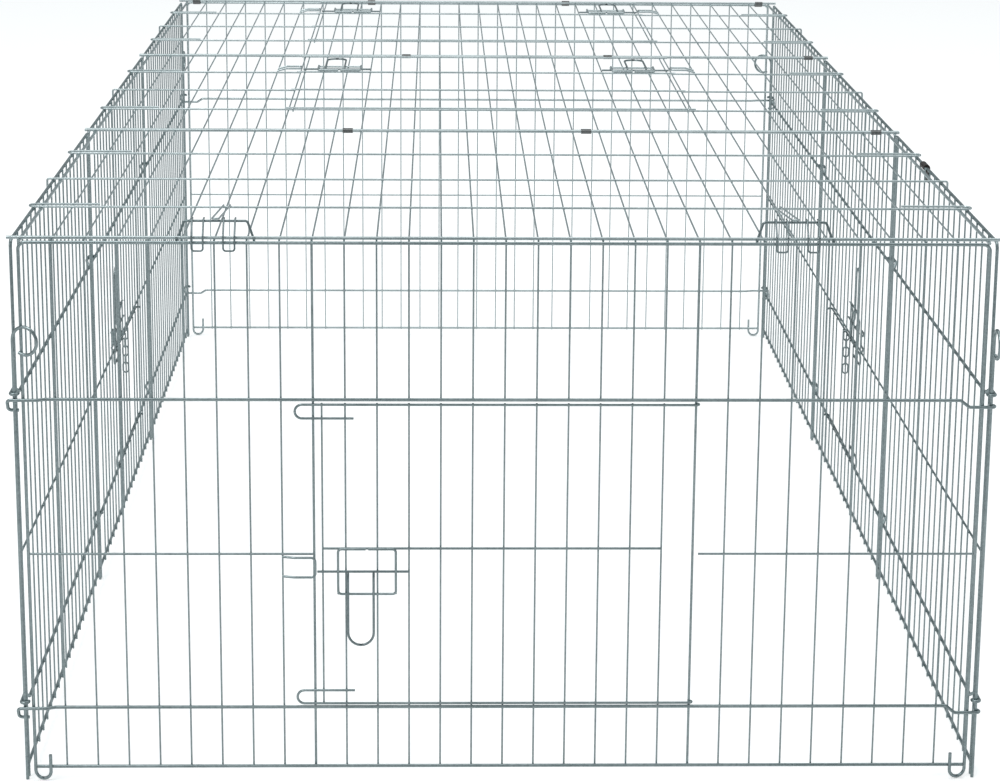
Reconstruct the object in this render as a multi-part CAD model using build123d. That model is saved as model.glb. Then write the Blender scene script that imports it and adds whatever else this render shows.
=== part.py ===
from build123d import *
import os
from math import hypot, pi, sqrt, tan

os.makedirs("parts", exist_ok=True)

# Wire sizes
FRAME_WIRE = 4.0
CROSS_WIRE = 2.8
MESH_WIRE = 2.2
POST_WIRE = 3.0
LEAF_WIRE = 3.0
LATCH_WIRE = 3.0
CATCH_WIRE = 3.0
PEG_WIRE = 4.0

# Sides of the hundreds of wires that only carry, and the corners of a quarter and of a half turn
WIRE_SIDES = 6
QUARTER_TURN = 2
HALF_TURN = 4

# Gaps between pieces that move on one another
EYE_FIT = 0.3
REST_GAP = 0.3
CLEAR_GAP = 0.8

# Cage, from leg centre to leg centre
WIDTH_GAPS = 30
WIDTH_PITCH = 37.0
SIDE_PANELS = 3
SIDE_GAPS = 20
SIDE_PITCH = 35.4
PANEL_JOINT = 9.0
BOTTOM_HEIGHT = 16.0
LOWER_HEIGHT = 91.0
MIDDLE_HEIGHT = 281.6
UPPER_HEIGHT = 469.0
TOP_HEIGHT = 654.0
FRAME_BEND = 8.0

# Feet of the end panels: the leg turns up in a hook
HOOK_WIDTH = 19.0
HOOK_RISE = 21.0
HOOK_TURN = 13.0

# Corner pegs and the eyes that they drop through
PEG_OUT = 10.0
PEG_RING = 16.5
PEG_RING_HEIGHT = 540.0
PEG_RING_TURN = 300.0
PEG_RING_ARCS = 4
LEFT_RING_ANGLE = 26.0
RIGHT_RING_ANGLE = 90.0
EYE_STEP = 7.0
EYE_STEP_START = 25.6
EYE_STEP_RUN = 9.7
LOOP_REACH = 8.0

# Front door, counted in wires from the left leg
DOOR_FIRST = 9
DOOR_LAST = 21
DOOR_EDGE_GAP = 10.0
DOOR_TOP_GAP = 6.1
DOOR_BOTTOM_GAP = 4.4
DOOR_MIDDLE_RISE = 6.8
HAIRPIN_WIDTH = 16.4
HAIRPIN_REACH = 21.0
HAIRPIN_RETURN = 47.0

# Side doors, counted in wires from the panel's front leg
SIDE_DOOR_FIRST = 7
SIDE_DOOR_LAST = 15
SIDE_DOOR_MISSING = 12
SIDE_DOOR_TOP_GAP = 7.0

# Latch: a bolt in a guide loop, a U keeper and a U handle
BOLT_START = 3.6
BOLT_LENGTH = 107.0
BOLT_DROP = 28.4
GUIDE_LEFT = 28.0
GUIDE_WIDTH = 67.6
GUIDE_BELOW = 27.8
GUIDE_KNEE = 12.0
GUIDE_KNEE_OUT = 0.5
GUIDE_BEND = 4.0
GUIDE_SEAM = 3.0
HANDLE_LEFT = 39.5
HANDLE_WIDTH = 30.0
HANDLE_LENGTH = 90.0
HANDLE_CRANK = 6.0
HANDLE_CORNER = 5.0
KEEPER_LOW = 6.0
KEEPER_WIDTH = 24.0
KEEPER_BEND = 5.0
KEEPER_OVERLAP = 1.4
KEEPER_SLOPE = 14.0

# Roof sections and lids
ROOF_OVERHANG = 4.0
ROOF_CROSS_GAPS = 4
ROOF_JOINT = 4.6
LID_FIRST = 7
LID_LAST = 23
LID_EDGE_GAP = 7.0
LID_FRONT_GAP = 11.0
LID_CROSS_SHIFT = 5.0
LID_OVERLAP = 5.0
LID_REAR_GAP = 7.0

# Sheet clips round two neighbouring wires, counted in roof gaps from the left
CLIP_LENGTH = 14.0
CLIP_SHEET = 0.8
CLIP_FIT = 0.3
FRONT_JOINT_CLIPS = (9, 18, 29)
REAR_JOINT_CLIPS = (11, 20, 29)
BACK_CLIPS = (0, 9, 19, 29)

# Catches at the roof's front edge
CATCH_CENTRE = 331.5
CATCH_FOOT = 44.0
CATCH_BAR = 36.0
CATCH_RISE = 18.0
CATCH_LEAN = 8.0
CATCH_HOOKS = (-16.0, 20.0)
CATCH_HOOK_WIDTH = 13.0
CATCH_HOOK_TOP = 4.0
CATCH_HOOK_TIP = 13.0
TONGUE_WIDTH = 8.0
TONGUE_PAST = 4.0
TONGUE_GAP = 0.9

# Dark spring clip on the right wall's top wire, counted in wires of the front panel
SPRING_CLIP_GAP = 13
SPRING_CLIP_LENGTH = 27.0
SPRING_CLIP_WALL = 2.2
SPRING_CLIP_DROP = 20.0

# Chains on the side doors
CHAIN_WIRE = 2.4
CHAIN_LINK = 16.0
CHAIN_LINK_WIDTH = 8.4
CHAIN_LINKS = 5
CHAIN_PLACE = 124.0
LINK_SEAM = 0.4

# Ends of the roof's cross wires
ROOF_HAIRPIN_RETURN = 75.0
ROOF_HOOK_DROP = 12.0

# Places that follow from the sizes above
FRONT_WIDTH = WIDTH_GAPS * WIDTH_PITCH
HALF_WIDTH = FRONT_WIDTH / 2
PANEL_LENGTH = SIDE_GAPS * SIDE_PITCH
HALF_PANEL = PANEL_LENGTH / 2
PANEL_STEP = PANEL_LENGTH + PANEL_JOINT
HALF_LENGTH = (SIDE_PANELS * PANEL_STEP - PANEL_JOINT) / 2 + PEG_OUT
SIDE_PLANE = HALF_WIDTH + PEG_OUT
PEG_EYE = PEG_WIRE / 2 + EYE_FIT + FRAME_WIRE / 2

# The inner side of every horizontal wire lies in one plane, and the uprights stand against it
FACE = FRAME_WIRE / 2
POST_DEPTH = FACE + POST_WIRE / 2
CROSS_DEPTH = FACE - CROSS_WIRE / 2

# A leaf's own planes follow from the eyes that turn on its post
LEAF_EYE = POST_WIRE / 2 + EYE_FIT + LEAF_WIRE / 2
LEAF_DEPTH = POST_DEPTH - LEAF_EYE
LEAF_FACE = LEAF_DEPTH + LEAF_WIRE / 2
LEAF_MESH_DEPTH = LEAF_FACE + MESH_WIRE / 2
BOLT_DEPTH = LEAF_FACE - EYE_FIT - LATCH_WIRE / 2
OVER_BOLT = BOLT_DEPTH - LATCH_WIRE - EYE_FIT

# The roof lies like a wall on its back, resting on the side walls' top wires
ROOF_LEVEL = TOP_HEIGHT + FRAME_WIRE + REST_GAP
ROOF_INSET = FACE + MESH_WIRE + CLEAR_GAP + FRAME_WIRE / 2
ROOF_HALF = SIDE_PLANE + ROOF_OVERHANG
ROOF_LENGTH = 2 * (HALF_LENGTH - ROOF_INSET)
SECTION_LENGTH = (ROOF_LENGTH - (SIDE_PANELS - 1) * ROOF_JOINT) / SIDE_PANELS
ROOF_PITCH = SECTION_LENGTH / ROOF_CROSS_GAPS


# Which way the wires of a standing panel and of the roof cross one another
INWARD = (0, 1, 0)
DOWNWARD = (0, 0, 1)


def section(start, run, wire, crossing):
    """A wire's section, with one of its edges toward the wires that it crosses."""
    return Plane(origin=start, x_dir=crossing, z_dir=run) * RegularPolygon(wire / 2, WIRE_SIDES)


def rod(start, end, wire, crossing=INWARD):
    """A straight piece of wire."""
    run = Vector(*end) - Vector(*start)
    return extrude(section(start, run, wire, crossing), run.length).solid()


def pin(start, end, wire):
    """A straight piece of wire that something turns or slides on, so it is round."""
    run = Vector(*end) - Vector(*start)
    return Solid.make_cylinder(wire / 2, run.length, Plane(origin=start, z_dir=run))


def bent(points, wire, crossing=INWARD):
    """A wire bent through the given points, in one piece."""
    run = Vector(*points[1]) - Vector(*points[0])
    return sweep(section(points[0], run, wire, crossing), path=Polyline(*points),
                 transition=Transition.RIGHT).solid()


def chords(points, wire, crossing=INWARD):
    """A wire bent through the given points, as one convex piece for each straight between two mitres."""
    points = [Vector(*point) for point in points]
    runs = [(after - before).normalized() for before, after in zip(points, points[1:])]
    ring = [Vector(*corner) for corner in section(points[0], runs[0], wire, crossing).vertices()]
    pieces = []
    for run, following, corner in zip(runs, runs[1:] + runs[-1:], points[1:]):
        mitre = run + following
        far = [near + run * ((corner - near).dot(mitre) / run.dot(mitre)) for near in ring]
        pieces.append(Solid.make_loft([Wire.make_polygon(ring), Wire.make_polygon(far)], ruled=True))
        ring = far
    return pieces


def arc_points(start, middle, end, turns):
    """Points of a bend through three places, which leaves and arrives along the arc's own direction."""
    path = ThreePointArc(start, middle, end)
    reach = path.radius * tan(path.length / path.radius / turns / 2)
    corners = [path @ (turn / turns) + path % (turn / turns) * reach for turn in range(turns)]
    return [Vector(*start)] + corners + [Vector(*end)]


def corner_arc(start, middle, end, wire, turns, crossing=INWARD):
    return bent(arc_points(start, middle, end, turns), wire, crossing)


def eased(points, cut):
    """The same points with a short chord across each corner."""
    points = [Vector(*point) for point in points]
    result = [points[0]]
    for before, corner, after in zip(points, points[1:], points[2:]):
        result.append(corner + (before - corner).normalized() * cut)
        result.append(corner + (after - corner).normalized() * cut)
    return result + [points[-1]]


def eye_points(radius):
    """Corners of a squared hook three quarters round the origin, entered along +x at y = -radius."""
    near = radius * tan(pi / 8)
    return [(near, -radius), (radius, -near), (radius, near), (near, radius), (-near, radius)]


def save(name, pieces):
    """Write one node as a group of its separate solids."""
    solids = [solid for piece in pieces for solid in piece.solids()]
    group = Compound(label=name, children=solids)
    export_step(group, "parts/" + name + ".step")


def moved(pieces, place):
    """The same pieces set down at another place."""
    return [piece.moved(place) for piece in pieces]


def mirrored(pieces):
    """The same pieces on the other side of the cage."""
    return [piece.mirror(Plane.YZ) for piece in pieces]


# Wall panels, drawn with x along the panel, y inward and z up


def frame(half, feet):
    """The outer wire of a panel: two legs, the top with its bends, and the bottom wire."""
    pieces = []
    leg_foot = HOOK_WIDTH / 2 + FRAME_WIRE / 2 if feet else 0.0
    shoulder = TOP_HEIGHT - FRAME_BEND
    half_diagonal = FRAME_BEND * (1 - sqrt(0.5))
    for side in (-1, 1):
        pieces.append(rod((side * half, 0, leg_foot), (side * half, 0, shoulder), FRAME_WIRE))
        pieces.append(corner_arc(
            (side * half, 0, shoulder),
            (side * (half - half_diagonal), 0, TOP_HEIGHT - half_diagonal),
            (side * (half - FRAME_BEND), 0, TOP_HEIGHT), FRAME_WIRE, QUARTER_TURN))
    pieces.append(pin((FRAME_BEND - half, 0, TOP_HEIGHT), (half - FRAME_BEND, 0, TOP_HEIGHT), FRAME_WIRE))
    pieces.append(rod((FACE - half, 0, BOTTOM_HEIGHT), (half - FACE, 0, BOTTOM_HEIGHT), FRAME_WIRE))
    return pieces


def foot_hook(side):
    """The turned-up end of an end panel's leg, swung a little outward past the bottom wire."""
    turn = HOOK_WIDTH / 2
    base = turn + FRAME_WIRE / 2
    inner = -side * HOOK_WIDTH
    curve = corner_arc((0, 0, base), (inner / 2, 0, base - turn), (inner, 0, base), FRAME_WIRE, HALF_TURN)
    tip = rod((inner, 0, base), (inner, 0, base + HOOK_RISE), FRAME_WIRE)
    swing = Rot(0, 0, side * HOOK_TURN)
    return moved([curve, tip], Pos(side * HALF_WIDTH, 0, 0) * swing)


def upright(x, low, high):
    """A vertical wire against the inner side of the horizontal ones."""
    depth = FACE + MESH_WIRE / 2
    return rod((x, depth, low), (x, depth, high), MESH_WIRE)


def full_upright(x):
    return upright(x, BOTTOM_HEIGHT - FACE, TOP_HEIGHT + FACE)


def post(x):
    """The heavier upright that a door turns on or shuts against."""
    return pin((x, POST_DEPTH, BOTTOM_HEIGHT - FACE), (x, POST_DEPTH, TOP_HEIGHT + FACE), POST_WIRE)


def level_wires(half, left_end, right_end):
    """The lower and upper horizontal wires, straight between their end eyes."""
    return [rod((-half + left_end, 0, z), (half - right_end, 0, z), FRAME_WIRE)
            for z in (LOWER_HEIGHT, UPPER_HEIGHT)]


def middle_wire(start, end):
    return rod((start, CROSS_DEPTH, MIDDLE_HEIGHT), (end, CROSS_DEPTH, MIDDLE_HEIGHT), CROSS_WIRE)


def end_eye(leg, out, rise):
    """The end of a lower or upper wire at +x: it steps out past the leg and curls round a peg."""
    pieces = []
    for z in (LOWER_HEIGHT, UPPER_HEIGHT):
        step = leg - EYE_STEP_START
        hook = [(leg + out + x, y, z + rise) for x, y in eye_points(PEG_EYE)]
        pieces.append(bent([(step, 0, z), (step + EYE_STEP_RUN, -PEG_EYE, z + rise)] + hook, FRAME_WIRE))
    return pieces


def end_loop(leg, out):
    """The other end, at -x: it passes the leg, loops round the peg and comes back lower."""
    pieces = []
    for z in (LOWER_HEIGHT, UPPER_HEIGHT):
        step = leg - EYE_STEP_START
        near = PEG_EYE * tan(pi / 8)
        low = z - 2 * EYE_STEP
        pieces.append(bent(
            [(-step, 0, z), (-step - EYE_STEP_RUN, -PEG_EYE, z), (-leg - out, -PEG_EYE, z),
             (-leg - out - LOOP_REACH, -near, z - EYE_STEP / 2), (-leg - out - LOOP_REACH, near, low + EYE_STEP / 2),
             (-leg - out, PEG_EYE, low), (-leg - out + PEG_EYE, PEG_EYE, low)], FRAME_WIRE))
    return pieces


def end_panel(with_door):
    """Front or back panel; the front one leaves out the wires of the doorway."""
    pieces = frame(HALF_WIDTH, True) + foot_hook(-1) + foot_hook(1)
    pieces += level_wires(HALF_WIDTH, EYE_STEP_START, EYE_STEP_START)
    pieces += end_eye(HALF_WIDTH, PEG_OUT, -EYE_STEP) + end_loop(HALF_WIDTH, PEG_OUT)
    for number in range(1, WIDTH_GAPS):
        x = number * WIDTH_PITCH - HALF_WIDTH
        if with_door and number in (DOOR_FIRST, DOOR_LAST):
            pieces.append(post(x))
        elif with_door and DOOR_FIRST < number < DOOR_LAST:
            pieces.append(upright(x, BOTTOM_HEIGHT - FACE, LOWER_HEIGHT + FACE))
            pieces.append(upright(x, UPPER_HEIGHT - FACE, TOP_HEIGHT + FACE))
        else:
            pieces.append(full_upright(x))
    if with_door:
        left = DOOR_FIRST * WIDTH_PITCH - HALF_WIDTH
        right = DOOR_LAST * WIDTH_PITCH - HALF_WIDTH
        pieces.append(middle_wire(FACE - HALF_WIDTH, left - POST_WIRE / 2))
        pieces.append(middle_wire(right + LEAF_EYE + LEAF_WIRE, HALF_WIDTH - FACE))
    else:
        pieces.append(middle_wire(FACE - HALF_WIDTH, HALF_WIDTH - FACE))
    return pieces


def side_panel(front_eye, rear_eye, with_door):
    """One panel of a long wall, x running from the cage's front to its back."""
    pieces = frame(HALF_PANEL, False)
    pieces += level_wires(HALF_PANEL, EYE_STEP_START if front_eye else FACE, EYE_STEP_START)
    pieces += end_eye(HALF_PANEL, rear_eye, EYE_STEP)
    if front_eye:
        pieces += [piece.mirror(Plane.YZ) for piece in end_eye(HALF_PANEL, front_eye, EYE_STEP)]
    for number in range(1, SIDE_GAPS):
        x = number * SIDE_PITCH - HALF_PANEL
        if with_door and number in (SIDE_DOOR_FIRST, SIDE_DOOR_LAST):
            pieces.append(post(x))
        elif with_door and SIDE_DOOR_FIRST < number < SIDE_DOOR_LAST:
            pieces.append(upright(x, BOTTOM_HEIGHT - FACE, LOWER_HEIGHT + FACE))
            pieces.append(upright(x, MIDDLE_HEIGHT - CROSS_WIRE / 2, TOP_HEIGHT + FACE))
        else:
            pieces.append(full_upright(x))
    pieces.append(middle_wire(FACE - HALF_PANEL, HALF_PANEL - FACE))
    return pieces


# Doors, drawn in their panel's own directions with x = 0 at the latch post


def leaf_wire(z, width):
    """A horizontal wire of a leaf, from its hairpin to the eye that turns on the hinge post."""
    hook = [(width + x, POST_DEPTH + y, z) for x, y in eye_points(LEAF_EYE)]
    return [rod((-HAIRPIN_REACH + HAIRPIN_WIDTH / 2, LEAF_DEPTH, z), (width - LEAF_EYE, LEAF_DEPTH, z), LEAF_WIRE),
            bent([(width - LEAF_EYE, LEAF_DEPTH, z)] + hook, LEAF_WIRE)]


def hairpin(z, direction):
    """The turned-back end of a leaf wire, which stops the leaf against the latch post."""
    bend = HAIRPIN_WIDTH / 2
    turn = bend - HAIRPIN_REACH
    back = z + direction * HAIRPIN_WIDTH
    curve = corner_arc((turn, LEAF_DEPTH, z), (-HAIRPIN_REACH, LEAF_DEPTH, z + direction * bend),
                       (turn, LEAF_DEPTH, back), LEAF_WIRE, HALF_TURN)
    return [curve, rod((turn, LEAF_DEPTH, back), (HAIRPIN_RETURN, LEAF_DEPTH, back), LEAF_WIRE)]


def leaf_upright(x, low, high):
    return rod((x, LEAF_MESH_DEPTH, low - LEAF_WIRE / 2), (x, LEAF_MESH_DEPTH, high + LEAF_WIRE / 2), MESH_WIRE)


def leaf(low, high, pitch, gaps, missing):
    """A door leaf: two long wires with hairpins and eyes, and the uprights behind them."""
    width = gaps * pitch
    pieces = leaf_wire(low, width) + leaf_wire(high, width)
    pieces += hairpin(low, 1) + hairpin(high, -1)
    pieces.append(leaf_upright(DOOR_EDGE_GAP, low, high))
    for number in range(1, gaps):
        if number != missing:
            pieces.append(leaf_upright(number * pitch, low, high))
    return pieces


# Latch, drawn with x = 0 at the fixed post, z = 0 on the bolt and y inward


def keeper():
    """The U staple on the fixed side, which stands out so that the bolt passes behind its closed end."""
    top = KEEPER_WIDTH - KEEPER_LOW
    root = -WIDTH_PITCH
    foot = FACE - LATCH_WIRE / 2
    knee = root + KEEPER_SLOPE
    corners = [(root, foot, top), (knee, OVER_BOLT, top), (KEEPER_OVERLAP, OVER_BOLT, top),
               (KEEPER_OVERLAP, OVER_BOLT, -KEEPER_LOW), (knee, OVER_BOLT, -KEEPER_LOW), (root, foot, -KEEPER_LOW)]
    return chords(eased(corners, KEEPER_BEND), LATCH_WIRE)


def guide():
    """The loop on the leaf that the bolt runs in, welded to the leaf wire above the bolt."""
    top_depth = LEAF_DEPTH - LEAF_WIRE / 2 - LATCH_WIRE / 2
    knee_depth = OVER_BOLT - GUIDE_KNEE_OUT
    low_depth = LEAF_FACE - LATCH_WIRE / 2
    left = GUIDE_LEFT
    right = GUIDE_LEFT + GUIDE_WIDTH
    seam = (left + right) / 2
    corners = [(seam + GUIDE_SEAM / 2, top_depth, BOLT_DROP), (right, top_depth, BOLT_DROP),
               (right, knee_depth, -GUIDE_KNEE), (right, low_depth, -GUIDE_BELOW),
               (left, low_depth, -GUIDE_BELOW), (left, knee_depth, -GUIDE_KNEE),
               (left, top_depth, BOLT_DROP), (seam - GUIDE_SEAM / 2, top_depth, BOLT_DROP)]
    return [bent(eased(corners, GUIDE_BEND), LATCH_WIRE)]


def bolt():
    return [pin((BOLT_START, BOLT_DEPTH, 0), (BOLT_START + BOLT_LENGTH, BOLT_DEPTH, 0), LATCH_WIRE)]


def handle():
    """The U handle, whose two ends are saddled on the bolt."""
    left = HANDLE_LEFT
    right = HANDLE_LEFT + HANDLE_WIDTH
    loop = bent(
        [(left, BOLT_DEPTH, 0), (left, OVER_BOLT, -HANDLE_CRANK), (left, OVER_BOLT, HANDLE_CORNER - HANDLE_LENGTH),
         (left + HANDLE_CORNER, OVER_BOLT, -HANDLE_LENGTH), (right - HANDLE_CORNER, OVER_BOLT, -HANDLE_LENGTH),
         (right, OVER_BOLT, HANDLE_CORNER - HANDLE_LENGTH), (right, OVER_BOLT, -HANDLE_CRANK),
         (right, BOLT_DEPTH, 0)], LATCH_WIRE)
    room = pin((left - LATCH_WIRE, BOLT_DEPTH, 0), (right + LATCH_WIRE, BOLT_DEPTH, 0),
               LATCH_WIRE + 2 * EYE_FIT)
    return [loop - room]


def chain_link(turned):
    """One link, each round end made of four straight bends, with its joint at one side."""
    half = CHAIN_LINK / 2
    side = CHAIN_LINK_WIDTH / 2
    cut = side * (2 - sqrt(2))
    seam = LINK_SEAM / 2
    link = bent(
        [(0, -side, seam), (0, -side, half - cut), (0, cut - side, half), (0, side - cut, half),
         (0, side, half - cut), (0, side, cut - half), (0, side - cut, -half), (0, cut - side, -half),
         (0, -side, cut - half), (0, -side, -seam)], CHAIN_WIRE)
    return link.rotate(Axis.Z, 90) if turned else link


def chain(place, wire_height):
    """Links hanging from the leaf's top wire, the first one round that wire."""
    first = wire_height + LEAF_WIRE / 2 + EYE_FIT + CHAIN_WIRE / 2 - CHAIN_LINK / 2
    pitch = CHAIN_LINK - CHAIN_WIRE - EYE_FIT
    return [chain_link(number % 2 == 1).moved(Pos(place, LEAF_DEPTH, first - number * pitch))
            for number in range(CHAIN_LINKS)]


# Roof, lying on the side walls, with depth counted down from the frame wires' level


def column(number):
    """Place across the cage of a roof wire or of a front panel wire."""
    return number * WIDTH_PITCH - HALF_WIDTH


def section_start(number):
    return ROOF_INSET - HALF_LENGTH + number * (SECTION_LENGTH + ROOF_JOINT)


def cross_rod(start, end, y, depth, wire):
    return rod((start, y, ROOF_LEVEL - depth), (end, y, ROOF_LEVEL - depth), wire, DOWNWARD)


def long_rod(x, start, end, depth, wire):
    return rod((x, start, ROOF_LEVEL - depth), (x, end, ROOF_LEVEL - depth), wire, DOWNWARD)


def cross_wire_ends(y, hairpins, inner):
    """A cross wire from an inner place out to both sides, ending in hairpins or in hooks over the walls."""
    pieces = []
    bend = HAIRPIN_WIDTH / 2
    for side in (-1, 1):
        level = ROOF_LEVEL - CROSS_DEPTH
        reach = side * (ROOF_HALF - bend) if hairpins else side * ROOF_HALF
        pieces.append(pin((side * inner, y, level), (reach, y, level), CROSS_WIRE))
        if hairpins:
            pieces.append(corner_arc((reach, y, level), (side * ROOF_HALF, y + bend, level),
                                     (reach, y + 2 * bend, level), CROSS_WIRE, HALF_TURN, DOWNWARD))
            pieces.append(cross_rod(reach, reach - side * ROOF_HAIRPIN_RETURN, y + 2 * bend,
                                    CROSS_DEPTH, CROSS_WIRE))
        else:
            pieces.append(bent([(reach, y, level), (reach + side * CROSS_WIRE, y, level),
                                (reach + side * CROSS_WIRE, y, level - ROOF_HOOK_DROP)], CROSS_WIRE, DOWNWARD))
    return pieces


def roof_section(number, with_lid):
    """One roof section: frame wires at both ends, cross wires between, and the long wires beneath."""
    start = section_start(number)
    end = start + SECTION_LENGTH
    pieces = [pin((-ROOF_HALF, y, ROOF_LEVEL), (ROOF_HALF, y, ROOF_LEVEL), FRAME_WIRE) for y in (start, end)]
    for cross in range(1, ROOF_CROSS_GAPS):
        y = start + cross * ROOF_PITCH
        in_opening = with_lid and cross > 1
        inner = column(LID_LAST) - MESH_WIRE / 2 if in_opening else 0.0
        pieces += cross_wire_ends(y, cross % 2 == 1, inner)
    for wire in range(WIDTH_GAPS + 1):
        edge = wire in (0, WIDTH_GAPS)
        thickness = FRAME_WIRE if edge else MESH_WIRE
        depth = FACE + thickness / 2
        if with_lid and LID_FIRST < wire < LID_LAST:
            pieces.append(long_rod(column(wire), start - FACE, start + ROOF_PITCH + CROSS_WIRE / 2, depth, thickness))
        else:
            pieces.append(long_rod(column(wire), start - FACE, end + FACE, depth, thickness))
    return pieces


def lid(number):
    """A lid: cross wires that rest on the roof beside the opening, long wires, and two hinge eyes."""
    start = section_start(number)
    hinge = start + ROOF_PITCH
    front = hinge + LID_FRONT_GAP
    rear = start + SECTION_LENGTH - LID_REAR_GAP
    half = column(LID_LAST) + LID_OVERLAP
    edge = column(LID_LAST) - LID_EDGE_GAP
    lines = [front, rear] + [start + cross * ROOF_PITCH + LID_CROSS_SHIFT for cross in (2, 3)]
    pieces = [cross_rod(-half, half, y, LEAF_DEPTH, LEAF_WIRE) for y in lines]
    ends = (front - LEAF_WIRE / 2, rear + LEAF_WIRE / 2)
    for x in [-edge, edge] + [column(wire) for wire in range(LID_FIRST + 1, LID_LAST)]:
        pieces.append(long_rod(x, ends[0], ends[1], LEAF_MESH_DEPTH, MESH_WIRE))
    radius = CROSS_WIRE / 2 + EYE_FIT + MESH_WIRE / 2
    level = ROOF_LEVEL - CROSS_DEPTH
    for x in (-edge, edge):
        hook = [(x, hinge - forward, level + up) for forward, up in eye_points(radius)]
        lead = (x, hinge + 2 * radius, level - radius)
        pieces.append(bent([(x, ends[0], ROOF_LEVEL - LEAF_MESH_DEPTH), lead] + hook, MESH_WIRE, DOWNWARD))
    return pieces


def lid_latch_place(number):
    """Where a lid's right hand latch lies: its post is the roof wire beside the lid."""
    y = section_start(number) + 3 * ROOF_PITCH + LID_CROSS_SHIFT + BOLT_DROP
    return Plane(origin=(column(LID_LAST), y, ROOF_LEVEL), x_dir=(-1, 0, 0), z_dir=(0, -1, 0)).location


def sheet_clip(first, second, x):
    """A strip of sheet closed round two wires, given by their places in the y-z plane."""
    first, second = Vector(0, *first), Vector(0, *second)
    across = second - first
    middle = (first + second) / 2 + Vector(x - CLIP_LENGTH / 2, 0, 0)
    room = FRAME_WIRE + 2 * CLIP_FIT
    plane = Plane(origin=middle, x_dir=across, z_dir=(1, 0, 0))
    ring = SlotCenterToCenter(across.length, room + 2 * CLIP_SHEET) - SlotCenterToCenter(across.length, room)
    return extrude(plane * ring, CLIP_LENGTH)


def joint_clips(number, gaps):
    """Clips that hold a roof section's front wire to the rear wire of the section before it."""
    y = section_start(number)
    return [sheet_clip((y - ROOF_JOINT, ROOF_LEVEL), (y, ROOF_LEVEL), column(gap + 0.5)) for gap in gaps]


def back_clips():
    """Clips that hold the roof's last wire to the back wall's top wire."""
    last = (HALF_LENGTH - ROOF_INSET, ROOF_LEVEL)
    return [sheet_clip(last, (HALF_LENGTH, TOP_HEIGHT), column(gap + 0.5)) for gap in BACK_CLIPS]


# Roof catches, drawn round the roof's front wire


def roof_catch():
    """A trapezoid loop turning on the front wire, with two U hooks that reach over the front wall."""
    turn = FRAME_WIRE / 2 + EYE_FIT + CATCH_WIRE / 2
    foot = [(-across, -along) for along, across in eye_points(turn)]
    left = [(-CATCH_FOOT, y, z) for y, z in reversed(foot)]
    right = [(CATCH_FOOT, y, z) for y, z in foot]
    bar = [(-CATCH_BAR, CATCH_LEAN, CATCH_RISE), (CATCH_BAR, CATCH_LEAN, CATCH_RISE)]
    pieces = chords(left + bar + right, CATCH_WIRE)
    wall = hypot(ROOF_INSET, ROOF_LEVEL - TOP_HEIGHT)
    front = -(wall + FRAME_WIRE / 2 + EYE_FIT + MESH_WIRE / 2)
    over = CATCH_RISE + (CATCH_WIRE + MESH_WIRE) / 2
    for centre in CATCH_HOOKS:
        low, high = centre - CATCH_HOOK_WIDTH / 2, centre + CATCH_HOOK_WIDTH / 2
        pieces += chords(
            [(low, CATCH_LEAN + TONGUE_PAST, over), (low, CATCH_LEAN - TONGUE_PAST, over),
             (low, front, CATCH_HOOK_TOP), (low, front, -CATCH_HOOK_TIP), (high, front, -CATCH_HOOK_TIP),
             (high, front, CATCH_HOOK_TOP), (high, CATCH_LEAN - TONGUE_PAST, over),
             (high, CATCH_LEAN + TONGUE_PAST, over)], MESH_WIRE, DOWNWARD)
    return moved(pieces, Pos(CATCH_CENTRE, section_start(0), ROOF_LEVEL))


def tongue():
    """The hairpin on the roof that runs from the first cross wire to the catch and rests on its bar."""
    low = ROOF_LEVEL - CROSS_DEPTH + (CROSS_WIRE + MESH_WIRE) / 2
    high = ROOF_LEVEL + CATCH_RISE + (CATCH_WIRE + MESH_WIRE) / 2 + TONGUE_GAP
    rear = section_start(0) + ROOF_PITCH
    front = section_start(0) + CATCH_LEAN - TONGUE_PAST
    left, right = CATCH_CENTRE - TONGUE_WIDTH / 2, CATCH_CENTRE + TONGUE_WIDTH / 2
    return [bent([(left, rear, low), (left, front, high), (right, front, high), (right, rear, low)],
                 MESH_WIRE, DOWNWARD)]


def corner_peg(side, end, ring_angle):
    """A peg at one corner, with a ring that stands off the end wall by the given angle."""
    pieces = [rod((0, 0, 0), (0, 0, PEG_RING_HEIGHT), PEG_WIRE)]
    ring_plane = Plane(origin=(PEG_RING, 0, PEG_RING_HEIGHT), x_dir=(1, 0, 0), z_dir=(0, -1, 0))
    step = PEG_RING_TURN / PEG_RING_ARCS
    for arc in range(PEG_RING_ARCS):
        path = ring_plane * CenterArc((0, 0), PEG_RING, 180 - arc * step, -step)
        pieces.append(corner_arc(path @ 0, path @ 0.5, path @ 1, PEG_WIRE, QUARTER_TURN))
    swing = Rot(0, 0, -ring_angle)
    place = Pos(-SIDE_PLANE, -HALF_LENGTH, 0) * swing
    pieces = moved(pieces, place)
    if side > 0:
        pieces = mirrored(pieces)
    if end > 0:
        pieces = [piece.mirror(Plane.XZ) for piece in pieces]
    return pieces


def spring_clip():
    """A dark clip snapped over the right wall's top wire, with a tab outside."""
    inner = FRAME_WIRE / 2 + CLIP_FIT
    outer = inner + SPRING_CLIP_WALL
    y = (SPRING_CLIP_GAP + 0.5) * SIDE_PITCH - HALF_PANEL - PANEL_STEP - SPRING_CLIP_LENGTH / 2
    plane = Plane(origin=(SIDE_PLANE, y, TOP_HEIGHT), x_dir=(1, 0, 0), z_dir=(0, -1, 0))
    tab = Pos((inner + outer) / 2, -SPRING_CLIP_DROP / 2) * Rectangle(SPRING_CLIP_WALL, SPRING_CLIP_DROP)
    profile = Circle(outer) + tab - Circle(inner)
    return [extrude(plane * profile, -SPRING_CLIP_LENGTH)]


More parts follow.
